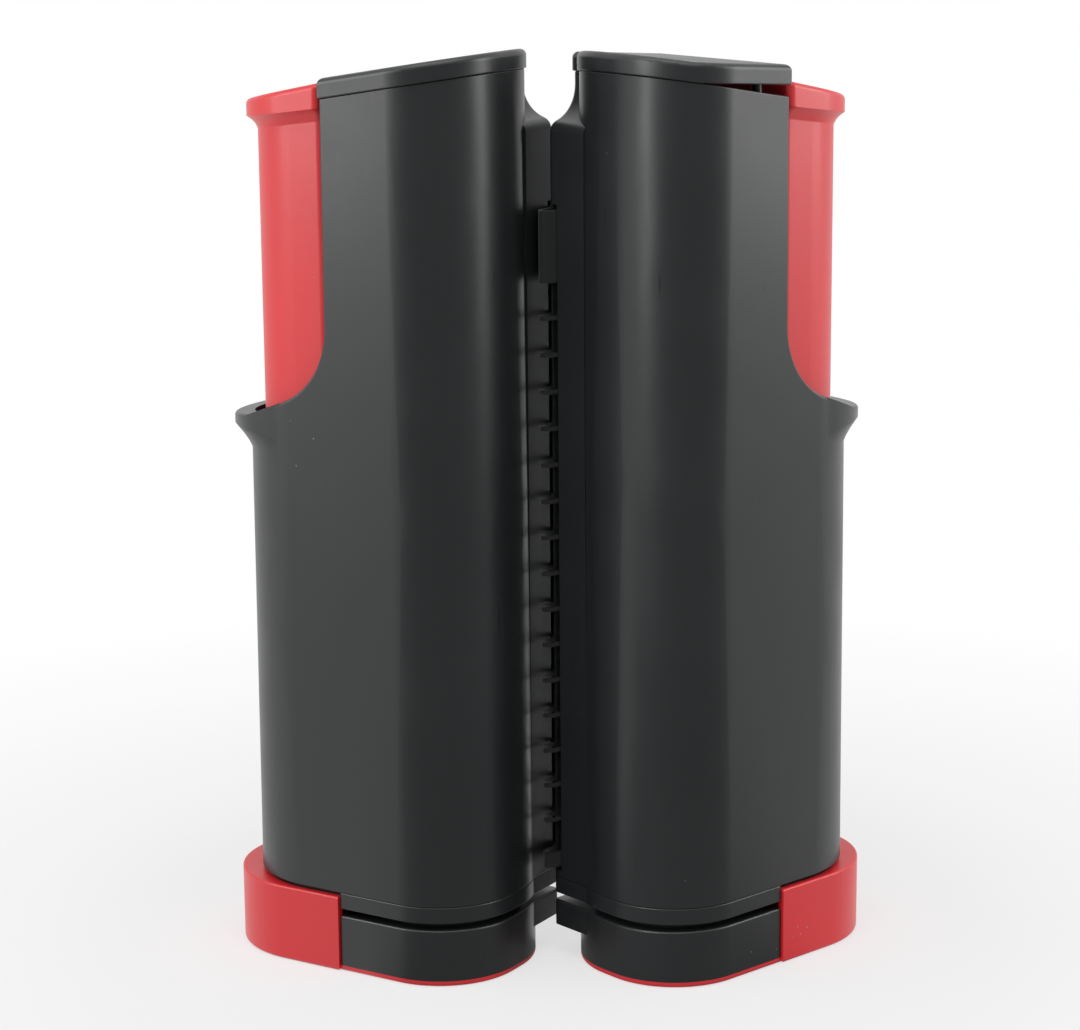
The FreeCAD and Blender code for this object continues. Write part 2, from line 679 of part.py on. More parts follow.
def base_plate(side, hand):
    body = new_body(side + "_base_plate")
    thickness = "dims.base_top - dims.base_bottom"
    rear = new_sketch(body, height="dims.base_bottom")
    post_outline(rear, "dims.body_half - dims.collar_step", "dims.net_radius - dims.collar_step",
                 "dims.outer_centre")
    pad(body, rear, thickness)
    front = new_sketch(body, height="dims.base_bottom")
    chamber_outline(front, "dims.body_half", "dims.net_radius", "-(dims.collar_edge - dims.play)")
    pad(body, front, thickness)
    square_corner(body, hand, "dims.outlet_x", "dims.outlet_far", "dims.base_bottom", "dims.base_top",
                  "dims.outlet_round")
    round_edges(body, lambda edge: edge.BoundBox.ZLength < 0.01, "dims.seam_round")
    hole = new_sketch(body, height="dims.base_top")
    column_outline(hole, CHANNEL_RADIUS, "dims.outer_centre", "-dims.cut_edge")
    pocket(body, hole, thickness)

    # spring seat inside the hollow slider, and the bridge that carries it through the slider's slot
    seat = new_sketch(body, height="dims.base_bottom")
    column_outline(seat, HOLLOW_RADIUS + " - dims.play", "dims.outer_centre", HOLLOW_WALL + " - dims.play")
    pad(body, seat, thickness)
    bridge = new_sketch(body, height="dims.base_bottom")
    rectangle(bridge, HOLLOW_WALL + " - dims.slider_wall", "-dims.cut_edge + dims.divider",
              "-dims.bridge_width / 2", "dims.bridge_width / 2")
    pad(body, bridge, thickness)

    recess = new_sketch(body, height="dims.base_bottom")
    chamber_outline(recess, "dims.body_half - dims.pad_margin", "dims.net_radius - dims.pad_margin",
                    "-dims.pad_back")
    pocket(body, recess, "dims.pad_recess", upward=True)
    for x, radius, depth in (("0", "dims.axle_radius", "dims.axle_seat"),
                             ("-dims.rod_x", "dims.rod_radius", "dims.rod_seat")):
        bore = new_sketch(body, height="dims.base_top")
        disc(bore, x, "0", radius + " + dims.press_fit")
        pocket(body, bore, depth)
    screw_holes(body, "dims.base_bottom", thickness, (("-dims.boss_x", "dims.boss_y"),))
    return body


def screw_holes(body, bottom, depth, places):
    """Countersunk holes from below, in pairs on both sides of the post's middle."""
    heads = new_sketch(body, height=bottom)
    shanks = new_sketch(body, height=bottom)
    for x, y in places:
        for side_y in (y, minus(y)):
            disc(heads, x, side_y, "dims.screw_head + dims.press_fit")
            disc(shanks, x, side_y, "dims.screw_radius + dims.press_fit")
    cone = pocket(body, heads, SCREW_HEAD_HEIGHT, upward=True)
    cone.TaperAngle = -45
    pocket(body, shanks, depth, upward=True)


def screws(side, label, bottom, places):
    pieces = []
    for x, y in places:
        for side_y in (y, minus(y)):
            name = "%s_%s_%d" % (side, label, len(pieces) + 1)
            head = doc.addObject("Part::Cone", name + "_head")
            bind(head, "Radius1", "dims.screw_head")
            bind(head, "Radius2", "dims.screw_radius")
            bind(head, "Height", SCREW_HEAD_HEIGHT)
            bind(head, "Placement.Base.x", x)
            bind(head, "Placement.Base.y", side_y)
            bind(head, "Placement.Base.z", bottom)
            shank = cylinder(name + "_shank", x, side_y, bottom, "dims.screw_radius", "dims.screw_length")
            pieces.append(union(name, [head, shank]))
    return group("%s_%s" % (side, label), pieces)


def jaw_pad(side, label, bottom):
    body = new_body("%s_%s" % (side, label))
    plan = new_sketch(body, height=bottom)
    chamber_outline(plan, "dims.body_half - dims.pad_margin - dims.pad_play",
                    "dims.net_radius - dims.pad_margin - dims.pad_play", "-(dims.pad_back - dims.pad_play)")
    pad(body, plan, "dims.pad_proud + dims.pad_recess")
    return body


def clamp_slider(side, hand):
    body = new_body(side + "_clamp_slider")
    column = new_sketch(body, height="dims.foot_plate")
    rounded_outline(column, "dims.slider_radius", "dims.outer_centre", COLUMN_WALL, "dims.slider_corner")
    pad(body, column, RIM_LOW + " + dims.flange_flare * 0.3 - dims.foot_plate")

    # thumb flange on a hollow flare, its foot and its top at two slopes
    lean = "cos(dims.rim_slope * 1 deg)"

    def slanted(drop, radius, wall, corner):
        """Outline in a sloping plane, drawn so that it stands upright over its plan."""
        sketch = new_sketch(body)
        sketch.AttachmentOffset = FreeCAD.Placement(
            FreeCAD.Vector(0, 0, 0), FreeCAD.Rotation(FreeCAD.Vector(0, -1, 0), value("dims.rim_slope")))
        bind(sketch, "AttachmentOffset.Rotation.Angle", "dims.rim_slope * 1 deg")
        bind(sketch, "AttachmentOffset.Base.z",
             "dims.rim_foot + tan(dims.rim_slope * 1 deg) * dims.cut_edge - " + drop)
        rounded_outline(sketch, radius, "(dims.outer_centre + %s) / %s - (%s)" % (radius, lean, radius),
                        "(%s) / %s" % (wall, lean), corner)
        return sketch

    rim = slanted("0", "dims.slider_radius + dims.flange_reach", COLUMN_WALL, "dims.flange_corner")
    upright = pad(body, rim, "dims.flange_height - (" + RIM_LOW + ") + dims.wall")
    upright.UseCustomVector = True
    upright.Direction = FreeCAD.Vector(0, 0, 1)
    upright.AlongSketchNormal = False
    sections = []
    for drop in (1, 0.75, 0.5, 0.3, 0.15, 0):
        spread = "dims.flange_reach * %g" % (1 - drop) ** 2 if drop < 1 else "-dims.flange_tuck * 2"
        corner = "dims.flange_corner + (dims.slider_corner - dims.flange_corner) * %g" % drop
        sections.append(slanted("dims.flange_flare * %g" % drop, "(dims.slider_radius + %s)" % spread,
                                COLUMN_WALL + " - dims.flange_tuck", corner))
    flare = body.newObject("PartDesign::AdditiveLoft", "flare")
    flare.Profile = sections[0]
    flare.Sections = sections[1:]
    flare.Ruled = True
    above = new_sketch(body, "XZ_Plane")
    reach_x = "dims.body_half * 4"
    top_line = "dims.flange_height + tan(dims.flange_slope * 1 deg) * (dims.cut_edge + (%s))"
    high_z = "dims.seam_height + dims.body_half * 3"
    polygon(above, ((minus(reach_x), top_line % minus(reach_x)), (reach_x, top_line % reach_x),
                    (reach_x, high_z), (minus(reach_x), high_z)))
    pocket(body, above, "dims.body_half * 4", both_ways=True)
    middle, slope = value(top_line % "0"), value("tan(dims.flange_slope * 1 deg)")

    def on_top(edge):
        """Whether an edge runs round the flange's sloping top."""
        return all(abs(point.z - slope * point.x - middle) < 0.01 for point in edge.discretize(5))

    round_edges(body, on_top, "dims.flange_round")

    hollow = new_sketch(body, height="dims.foot_plate")
    column_outline(hollow, HOLLOW_RADIUS, "dims.outer_centre", HOLLOW_WALL)
    pocket(body, hollow, ROOF + " - dims.foot_plate", upward=True)
    slot = new_sketch(body, height="dims.foot_plate")
    slot_half = "(dims.bridge_width / 2 + dims.play)"
    rectangle(slot, HOLLOW_WALL + " - dims.play", COLUMN_WALL + " + dims.slider_wall",
              minus(slot_half), slot_half)
    pocket(body, slot, "dims.base_top + dims.stroke + dims.play * 3 - dims.foot_plate", upward=True)
    bosses = new_sketch(body, height="dims.foot_plate")
    for y in ("dims.rear_screw_y", "-dims.rear_screw_y"):
        disc(bosses, "-dims.rear_screw_x", y, "dims.boss_radius")
    pad(body, bosses, "dims.block_top - dims.foot_plate")
    holes = new_sketch(body, height="dims.foot_plate")
    for y in ("dims.rear_screw_y", "-dims.rear_screw_y"):
        disc(holes, "-dims.rear_screw_x", y, "dims.screw_radius + dims.press_fit")
    pocket(body, holes, "dims.screw_length", upward=True)
    return body


FOOT_SCREWS = (("-dims.rear_screw_x", "dims.rear_screw_y"), ("dims.front_screw_x", "dims.front_screw_y"))


def clamp_foot(side, hand):
    body = new_body(side + "_clamp_foot")
    plate = new_sketch(body, height="0")
    post_outline(plate, "dims.body_half", "dims.net_radius", COLLAR_CENTRE)
    pad(body, plate, "dims.foot_plate")
    collar = new_sketch(body, height="0")
    column_outline(collar, "dims.body_half + dims.collar_proud", COLLAR_CENTRE, "-dims.collar_edge")
    pad(body, collar, "dims.collar_top")
    round_edges(body, lambda edge: edge.BoundBox.ZMin > value("dims.collar_top") - 0.01, "dims.edge_round")
    inside = new_sketch(body, height="dims.collar_top")
    column_outline(inside, COLLAR_INSIDE, "dims.outer_centre", "-dims.collar_edge + dims.wall")
    pocket(body, inside, "dims.collar_top - dims.foot_plate")
    round_edges(body, lambda edge: edge.BoundBox.ZMax < 0.01, "dims.bottom_round")
    screw_holes(body, "0", "dims.foot_plate", FOOT_SCREWS)
    return body


def jaw_block(side, hand):
    body = new_body(side + "_jaw_block")
    height = "dims.block_top - dims.foot_plate"
    rear = new_sketch(body, height="dims.foot_plate")
    column_outline(rear, COLLAR_INSIDE + " - dims.pad_play", "dims.outer_centre", "-dims.pad_back")
    pad(body, rear, height)
    front = new_sketch(body, height="dims.foot_plate")
    chamber_outline(front, "dims.body_half", "dims.net_radius", "-(dims.collar_edge - dims.play)")
    pad(body, front, height)
    square_corner(body, hand, "dims.outlet_x", "dims.outlet_far", "dims.tongue_bottom", "dims.block_top",
                  "dims.outlet_round")
    round_edges(body, lambda edge: edge.BoundBox.ZMin > value("dims.block_top") - 0.01, "dims.edge_round")
    hole = new_sketch(body, height="dims.block_top")
    column_outline(hole, "dims.slider_radius + dims.pad_play", "dims.outer_centre",
                   COLUMN_WALL + " + dims.pad_play")
    pocket(body, hole, height)
    recess = new_sketch(body, height="dims.block_top")
    chamber_outline(recess, "dims.body_half - dims.pad_margin", "dims.net_radius - dims.pad_margin",
                    "-dims.pad_back")
    pocket(body, recess, "dims.pad_recess")
    holes = new_sketch(body, height="dims.foot_plate")
    for y in ("dims.front_screw_y", "-dims.front_screw_y"):
        disc(holes, "dims.front_screw_x", y, "dims.screw_radius + dims.press_fit")
    pocket(body, holes, "dims.screw_length", upward=True)
    return body


def coil(label, x, low, high, radius, wire, turns):
    """Round-wire coil that stands on end."""
    gap = value("dims.coil_gap")
    low, high = low + gap, high - gap
    height = high - low - 2 * wire
    helix = Part.makeHelix(height / turns, height, radius)
    section = Part.Wire([Part.makeCircle(wire, FreeCAD.Vector(radius, 0, 0), FreeCAD.Vector(0, 1, 0))])
    sweep = Part.Wire(helix.Edges).makePipeShell([section], True, True)
    piece = doc.addObject("Part::Feature", label)
    piece.Label = label
    piece.Shape = sweep
    piece.Placement = FreeCAD.Placement(FreeCAD.Vector(x, 0, low + wire), FreeCAD.Rotation())
    return piece


def springs_and_roller(side):
    rod = group(side + "_spring_rod", [
        cylinder(side + "_rod_bar", "-dims.rod_x", "0", "dims.base_top - dims.rod_seat",
                 "dims.rod_radius", ROD_TOP + " - dims.base_top + dims.rod_seat")])
    clamp_spring = coil(side + "_clamp_spring", -value("dims.rod_x"), value("dims.base_top"), value(ROOF),
                        value("dims.coil_radius"), value("dims.coil_wire"), value("dims.coil_turns"))
    axle = group(side + "_roller_axle", [
        cylinder(side + "_axle_bar", "0", "0", "dims.base_top - dims.axle_seat", "dims.axle_radius",
                 "dims.axle_top - dims.base_top + dims.axle_seat")])
    tube = difference(side + "_roller_tube",
                      cylinder(side + "_tube_outside", "0", "0", TUBE_BOTTOM, "dims.roller_radius",
                               TUBE_TOP + " - (" + TUBE_BOTTOM + ")"),
                      cylinder(side + "_tube_inside", "0", "0", "0", "dims.roller_radius - dims.roller_wall",
                               "dims.seam_height"))
    bushes = []
    for name, low, flange in (("lower", TUBE_BOTTOM, TUBE_BOTTOM + " - dims.bush_flange"),
                              ("upper", TUBE_TOP + " - dims.bush_length", TUBE_TOP)):
        barrel = cylinder("%s_%s_barrel" % (side, name), "0", "0", low,
                          "dims.roller_radius - dims.roller_wall - dims.press_fit", "dims.bush_length")
        collar = cylinder("%s_%s_collar" % (side, name), "0", "0", flange, "dims.roller_radius",
                          "dims.bush_flange")
        bore = cylinder("%s_%s_bore" % (side, name), "0", "0", "0", "dims.axle_radius + dims.running_fit",
                        "dims.seam_height")
        solid = union("%s_%s_solid" % (side, name), [barrel, collar])
        bushes.append(difference("%s_%s_bush" % (side, name), solid, bore))
    clip_low = TUBE_TOP + " + dims.bush_flange + dims.play"
    clip = difference(side + "_roller_clip",
                      cylinder(side + "_clip_outside", "0", "0", clip_low, "dims.axle_radius * 2",
                               "dims.bush_flange"),
                      cylinder(side + "_clip_inside", "0", "0", "0", "dims.axle_radius + dims.press_fit",
                               "dims.seam_height"))
    rewind = coil(side + "_rewind_spring", 0, value(TUBE_BOTTOM + " + dims.bush_length + dims.play"),
                  value(TUBE_TOP + " - dims.bush_length - dims.play"), value("dims.rewind_radius"),
                  value("dims.rewind_wire"), value("dims.rewind_turns"))
    roll = difference(side + "_net_roll",
                      cylinder(side + "_roll_outside", "0", "0", "dims.net_bottom", "dims.roll_radius",
                               "dims.net_height"),
                      cylinder(side + "_roll_inside", "0", "0", "0", "dims.roller_radius + dims.press_fit",
                               "dims.seam_height"))
    return [rod, clamp_spring, axle, tube, group(side + "_roller_bushes", bushes), clip, rewind, roll]


TURNS = {"left": -value("dims.left_turn"), "right": 180 + value("dims.right_turn")}
SPOTS = {"left": (value("dims.left_x"), value("dims.left_y")),
         "right": (value("dims.right_x"), value("dims.right_y"))}


def post_placement(side, centre=(0, 0)):
    """Where a post stands, with the pair's centre moved to the origin."""
    x, y = SPOTS[side]
    return FreeCAD.Placement(FreeCAD.Vector(x - centre[0], y - centre[1], 0),
                             FreeCAD.Rotation(FreeCAD.Vector(0, 0, 1), TURNS[side]))


posts = {}
for side, hand in (("left", 1), ("right", -1)):
    posts[side] = [housing(side, hand), top_cap(side, hand), base_plate(side, hand),
                   jaw_pad(side, "upper_jaw_pad", "dims.base_bottom - dims.pad_proud"),
                   screws(side, "base_screws", "dims.base_bottom", (("-dims.boss_x", "dims.boss_y"),)),
                   clamp_slider(side, hand), clamp_foot(side, hand), jaw_block(side, hand),
                   jaw_pad(side, "lower_jaw_pad", "dims.block_top - dims.pad_recess"),
                   screws(side, "foot_screws", "0", FOOT_SCREWS)]
    posts[side] += springs_and_roller(side)
doc.recompute()

# The pair stands centred on the origin.
span = FreeCAD.BoundBox()
for side, pieces in posts.items():
    for piece in pieces:
        standing = piece.Shape.copy()
        standing.Placement = post_placement(side).multiply(standing.Placement)
        span.add(standing.optimalBoundingBox(False))
CENTRE = (span.Center.x, span.Center.y)
for side, pieces in posts.items():
    for piece in pieces:
        piece.Placement = post_placement(side, CENTRE).multiply(piece.Placement)


def free_net():
    """Net between the two slots: out of one, round the other outlet's corner and into its slot."""
    ends = []
    for side, hand in (("left", 1), ("right", -1)):
        place_here = post_placement(side, CENTRE)
        mouth = place_here.multVec(FreeCAD.Vector(value("dims.outlet_x"), hand * value("dims.slot_middle"), 0))
        outward = place_here.Rotation.multVec(FreeCAD.Vector(1, 0, 0))
        sideways = place_here.Rotation.multVec(FreeCAD.Vector(0, hand, 0))
        ends.append((mouth, outward, sideways))
    (start, leave, left_side), (stop, enter, right_side) = ends
    bend, tuck = value("dims.net_bend"), value("dims.net_tuck")
    corner = stop + right_side * value("dims.outlet_far - dims.slot_middle")
    path = [start - leave * tuck, start, start + leave * bend * 0.7,
            corner + enter * bend * 0.9 + right_side * bend * 0.3,
            stop + enter * bend * 1.6 + right_side * bend * 0.5,
            stop + enter * bend, stop, stop - enter * tuck]
    middle = Part.BSplineCurve()
    middle.interpolate(path)
    points = middle.discretize(60)
    half = value("dims.net_thick") / 2
    sides = ([], [])
    for i, point in enumerate(points):
        along = (points[min(i + 1, len(points) - 1)] - points[max(i - 1, 0)]).normalize()
        normal = FreeCAD.Vector(-along.y, along.x, 0)
        sides[0].append(point + normal * half)
        sides[1].append(point - normal * half)
    edges = []
    for row in sides:
        curve = Part.BSplineCurve()
        curve.interpolate(row)
        edges.append(curve.toShape())
    edges += [Part.makeLine(sides[0][0], sides[1][0]), Part.makeLine(sides[0][-1], sides[1][-1])]
    face = Part.Face(Part.Wire(Part.__sortEdges__(edges)))
    piece = doc.addObject("Part::Feature", "free_net")
    piece.Label = "free_net"
    piece.Shape = face.extrude(FreeCAD.Vector(0, 0, value("dims.net_height")))
    piece.Placement.Base.z = value("dims.net_bottom")
    print("mouths", start, stop)
    print("path", [(round(p.x, 3), round(p.y, 3)) for p in path])
    return piece


nodes = posts["left"] + posts["right"] + [free_net()]

doc.recompute()
faulty = [item.Label for item in doc.Objects if "Invalid" in item.State or "Error" in item.State]
faulty += [node.Label for node in nodes if node.Shape.isNull() or not node.Shape.isValid()]
if faulty:
    raise RuntimeError("failed: " + ", ".join(faulty))

os.makedirs("parts", exist_ok=True)
for node in nodes:
    node.Shape.exportStep("parts/%s.step" % node.Label)
    print("%-24s %d solids %9.1f mm3" % (node.Label, len(node.Shape.Solids), node.Shape.Volume))
print("centre", CENTRE)
for side in ("left", "right"):
    print(side, post_placement(side, CENTRE))
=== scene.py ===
"""Finish, lamps and camera for a pair of table tennis net clamps with a net that winds into them."""

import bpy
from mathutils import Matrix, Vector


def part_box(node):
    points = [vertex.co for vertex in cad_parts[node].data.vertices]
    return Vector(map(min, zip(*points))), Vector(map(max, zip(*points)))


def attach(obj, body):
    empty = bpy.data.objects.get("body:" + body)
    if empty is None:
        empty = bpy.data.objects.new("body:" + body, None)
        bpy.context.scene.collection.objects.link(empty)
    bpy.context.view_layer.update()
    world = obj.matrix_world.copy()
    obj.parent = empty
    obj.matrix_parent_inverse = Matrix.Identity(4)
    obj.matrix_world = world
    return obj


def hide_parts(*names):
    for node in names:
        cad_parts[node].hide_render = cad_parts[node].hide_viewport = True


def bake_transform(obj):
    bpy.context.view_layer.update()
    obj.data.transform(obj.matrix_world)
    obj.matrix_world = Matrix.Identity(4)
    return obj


bl_info = {
    "name": "Table Tennis Net Clamps",
    "version": (1, 0, 0),
    "blender": (4, 5, 0),
    "location": "3D View > Sidebar > Net Clamps",
    "description": "Dresses a pair of table tennis net clamps and sets up a plain studio round them",
    "category": "Object",
}

import math

import bmesh
import bpy
from bpy.props import FloatProperty, FloatVectorProperty, PointerProperty
from bpy.types import Operator, Panel, PropertyGroup
from mathutils import Matrix, Vector

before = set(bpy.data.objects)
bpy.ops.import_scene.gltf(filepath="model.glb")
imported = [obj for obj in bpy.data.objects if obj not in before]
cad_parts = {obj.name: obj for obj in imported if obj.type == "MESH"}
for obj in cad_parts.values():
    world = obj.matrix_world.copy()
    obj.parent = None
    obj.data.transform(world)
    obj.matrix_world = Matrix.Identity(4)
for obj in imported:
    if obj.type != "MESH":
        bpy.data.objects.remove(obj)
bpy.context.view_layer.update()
SIDES = ("left", "right")
MM = 0.001

MERGE_DISTANCE = 0.001 * MM
EDGE_ANGLE = math.radians(38)

# net: its path across the gap between the slots, its cloth and its roll
NET_DIRECTION = (0.8631, -0.5050, 0.0)
NET_THICKNESS = 0.35 * MM
NET_HEM = 2.5 * MM
LAYER_PITCH = 0.57 * MM
TURN_STEPS = 36
TURN_ANGLE = 2 * math.pi / TURN_STEPS
ROLL_ROWS = 5

# studio, in metres
FLOOR_HALF = 4.0
FLOOR_DROP = 0.02 * MM
SHADOW_RADII = (0.1, 0.3)
SHADOW_SHARE = 0.62
ROOM_BEARING = math.radians(12)
OVERHEAD_PLACE = (-0.05, -0.3, 0.95)
OVERHEAD_TARGET = (0, 0, 0.1)
OVERHEAD_SIZE = (0.9, 0.7)
LAMP_DISTANCE = 0.4
LAMP_HEIGHT = 0.27
LAMP_TARGET_HEIGHT = 0.16
WIDE_LAMP = (0.20, 0.30)
STRIP_LAMP = (0.08, 0.30)
# post, point on it, bearing in degrees, size and the setting that holds the power
LAMPS = (
    ("left", (-0.045, -0.010), -71, WIDE_LAMP, "side_lamps"),
    ("left", (-0.014, -0.027), 78, STRIP_LAMP, "strips"),
    ("right", (0.019, -0.030), -42, STRIP_LAMP, "strips"),
    ("right", (0.045, -0.012), 94, WIDE_LAMP, "side_lamps"),
)
SENSOR_WIDTH = 36.0
CAMERA_SHIFT = -118.6 / 1080


def linear(hex_colour):
    """Linear RGBA of an sRGB hex colour."""
    channels = [int(hex_colour[i:i + 2], 16) / 255 for i in (0, 2, 4)]
    return tuple([c / 12.92 if c <= 0.04045 else ((c + 0.055) / 1.055) ** 2.4 for c in channels] + [1.0])


def colour_property(name, description, hex_colour):
    return FloatVectorProperty(name=name, description=description, subtype="COLOR", size=4, min=0, max=1,
                               default=linear(hex_colour))


class ClampFinish(PropertyGroup):
    """Colours and surface sizes of the clamps."""

    shell: colour_property("Shell", "Moulded housing, cap and jaw", "1c1e1f")
    red: colour_property("Red", "Slider and foot", "cb2026")
    rubber: colour_property("Rubber", "Jaw pads", "1c1c1c")
    steel: colour_property("Steel", "Rods, springs and screws", "b4b4b6")
    net: colour_property("Net", "Net cord", "17181a")
    tape: colour_property("Tape", "Woven band along the top of the net", "1d1e20")
    acetal: colour_property("Bushes", "Roller bushes", "d8d6cc")
    grain: FloatProperty(name="Moulding grain", description="Spacing of the mould's fine texture",
                         default=0.35 * MM, min=0.05 * MM, max=2 * MM, unit="LENGTH", precision=5)
    shell_roughness: FloatProperty(name="Shell roughness", description="How matt the black plastic is",
                                   default=0.36, min=0, max=1, subtype="FACTOR")
    red_roughness: FloatProperty(name="Red roughness", description="How matt the red plastic is",
                                 default=0.42, min=0, max=1, subtype="FACTOR")
    net_cell: FloatProperty(name="Net cell", description="Spacing of the net's cords",
                            default=8 * MM, min=4 * MM, max=15 * MM, unit="LENGTH", precision=4)
    net_cord: FloatProperty(name="Net cord", description="Thickness of the net's cords",
                            default=0.9 * MM, min=0.3 * MM, max=3 * MM, unit="LENGTH", precision=4)
    net_tape_width: FloatProperty(name="Net tape", description="Width of the band along the top of the net",
                                  default=15 * MM, min=5 * MM, max=25 * MM, unit="LENGTH", precision=4)


class StudioSetup(PropertyGroup):
    """Camera place, floor and lamp levels."""

    camera_place: FloatVectorProperty(name="Camera place", description="Where the camera stands", size=3,
                                      subtype="TRANSLATION", unit="LENGTH",
                                      default=(14.61 * MM, -674.94 * MM, 254.34 * MM))
    camera_pitch: FloatProperty(name="Camera pitch", description="How far the camera looks down",
                                default=0.2269, subtype="ANGLE")
    camera_yaw: FloatProperty(name="Camera yaw", description="How far the camera turns to the right",
                              default=0.0143, subtype="ANGLE")
    lens: FloatProperty(name="Lens", description="Focal length", default=105.2, min=10, unit="CAMERA")
    overhead: FloatProperty(name="Overhead", description="Power of the large lamp above", default=4.0, min=0,
                            unit="POWER")
    side_lamps: FloatProperty(name="Side lamps", description="Power of the wide lamp beside each post",
                              default=1.0, min=0, unit="POWER")
    strips: FloatProperty(name="Strip lamps", description="Power of the narrow lamp in front of each post",
                          default=0.9, min=0, unit="POWER")
    sky: FloatProperty(name="Sky", description="Level of the light from all round", default=0.5, min=0)
    room: FloatProperty(name="Room", description="Level of the room in front, as gloss shows it", default=0.3,
                        min=0, max=1)
    floor: colour_property("Floor", "Plain pale floor", "f4f4f4")


def add_node(tree, kind, feeds=(), **settings):
    """One shader node with its settings and its feeds, each a value or another node's socket."""
    node = tree.nodes.new(kind)
    for name, setting in settings.items():
        setattr(node, name, setting)
    for name, source in dict(feeds).items():
        if isinstance(source, bpy.types.NodeSocket):
            tree.links.new(source, node.inputs[name])
        else:
            node.inputs[name].default_value = source
    return node


def calculate(tree, operation, *terms):
    """Result of one sum on values or sockets."""
    return add_node(tree, "ShaderNodeMath", dict(enumerate(terms)), operation=operation).outputs["Value"]


def dot(tree, vector, direction):
    """How far a vector reaches along a direction."""
    node = add_node(tree, "ShaderNodeVectorMath", {0: vector, 1: direction}, operation="DOT_PRODUCT")
    return node.outputs["Value"]


def noise(tree, where, scale, detail, roughness=0.5):
    feeds = {"Vector": where, "Scale": scale, "Detail": detail, "Roughness": roughness}
    return add_node(tree, "ShaderNodeTexNoise", feeds).outputs["Fac"]


def ramp(tree, value, low, high, to_low=0.0, to_high=1.0):
    """A value between low and high, brought to another range."""
    feeds = {"Value": value, "From Min": low, "From Max": high, "To Min": to_low, "To Max": to_high}
    return add_node(tree, "ShaderNodeMapRange", feeds).outputs["Result"]


def mix(tree, factor, first, second, kind="RGBA"):
    feeds = {"Factor": factor, "A": first, "B": second}
    return add_node(tree, "ShaderNodeMix", feeds, data_type=kind).outputs["Result"]


def bump(tree, shader, height, strength, distance):
    """Fine relief on a shader."""
    relief = add_node(tree, "ShaderNodeBump", {"Height": height, "Strength": strength, "Distance": distance})
    tree.links.new(relief.outputs["Normal"], shader.inputs["Normal"])


def coordinates_of(tree, kind="Object"):
    return add_node(tree, "ShaderNodeTexCoord").outputs[kind]


def new_material(name):
    """Empty material: its node tree, its surface shader and its output."""
    material = bpy.data.materials.new(name)
    material.use_nodes = True
    tree = material.node_tree
    tree.nodes.clear()
    shader = tree.nodes.new("ShaderNodeBsdfPrincipled")
    output = tree.nodes.new("ShaderNodeOutputMaterial")
    tree.links.new(shader.outputs["BSDF"], output.inputs["Surface"])
    material.diffuse_color = (0.5, 0.5, 0.5, 1)
    return material, tree, shader


def darker(colour, share):
    """A colour times a share, which is over 1 for a lighter one."""
    return tuple([c * share for c in colour[:3]] + [1.0])


def moulded_plastic(name, colour, roughness, grain, relief, coat=0.0):
    """Injection-moulded ABS: even colour, fine mould grain, faint handling marks and specks of dust."""
    material, tree, shader = new_material(name)
    where = coordinates_of(tree)
    mould = noise(tree, where, 1 / grain, 3.0, 0.6)
    drift = noise(tree, where, 28.0, 4.0, 0.55)
    rubs = add_node(tree, "ShaderNodeMapping",
                    {"Vector": where, "Scale": (900.0, 900.0, 60.0), "Rotation": (0.3, 0.2, 0.6)})
    marks = ramp(tree, noise(tree, rubs.outputs["Vector"], 1.0, 2.0), 0.68, 0.8)
    dust = add_node(tree, "ShaderNodeTexVoronoi", {"Vector": where, "Scale": 330.0})
    speck = ramp(tree, dust.outputs["Distance"], 0.07, 0.045)
    specks = calculate(tree, "MULTIPLY", speck, ramp(tree, drift, 0.6, 0.72))
    shade = mix(tree, drift, darker(colour, 0.86), darker(colour, 1.12))
    tree.links.new(mix(tree, specks, shade, linear("8c8c8a")), shader.inputs["Base Color"])
    level = ramp(tree, drift, 0.3, 0.7, roughness * 0.88, roughness * 1.14)
    tree.links.new(calculate(tree, "MULTIPLY_ADD", marks, -0.12, level), shader.inputs["Roughness"])
    bump(tree, shader, mould, relief, 0.02 * MM)
    shader.inputs["IOR"].default_value = 1.54
    shader.inputs["Coat Weight"].default_value = coat
    shader.inputs["Coat Roughness"].default_value = 0.12
    return material


def rubber_pad(name, colour):
    """Moulded rubber: dull, with a faint pebble."""
    material, tree, shader = new_material(name)
    pebble = noise(tree, coordinates_of(tree), 1800.0, 3.0)
    shade = mix(tree, pebble, darker(colour, 0.8), darker(colour, 1.3))
    tree.links.new(shade, shader.inputs["Base Color"])
    bump(tree, shader, pebble, 0.5, 0.05 * MM)
    shader.inputs["Roughness"].default_value = 0.85
    return material


def drawn_steel(name, colour, roughness):
    """Zinc-plated or ground steel: fine lines along the piece and a slight cloud in its gloss."""
    material, tree, shader = new_material(name)
    where = coordinates_of(tree)
    stretch = add_node(tree, "ShaderNodeMapping", {"Vector": where, "Scale": (6000.0, 6000.0, 250.0)})
    lines = noise(tree, stretch.outputs["Vector"], 1.0, 2.0)
    cloud = noise(tree, where, 90.0, 3.0)
    shade = mix(tree, cloud, darker(colour, 0.82), darker(colour, 1.05))
    tree.links.new(shade, shader.inputs["Base Color"])
    level = ramp(tree, lines, 0.0, 1.0, roughness * 0.7, roughness * 1.3)
    tree.links.new(level, shader.inputs["Roughness"])
    shader.inputs["Metallic"].default_value = 1.0
    return material


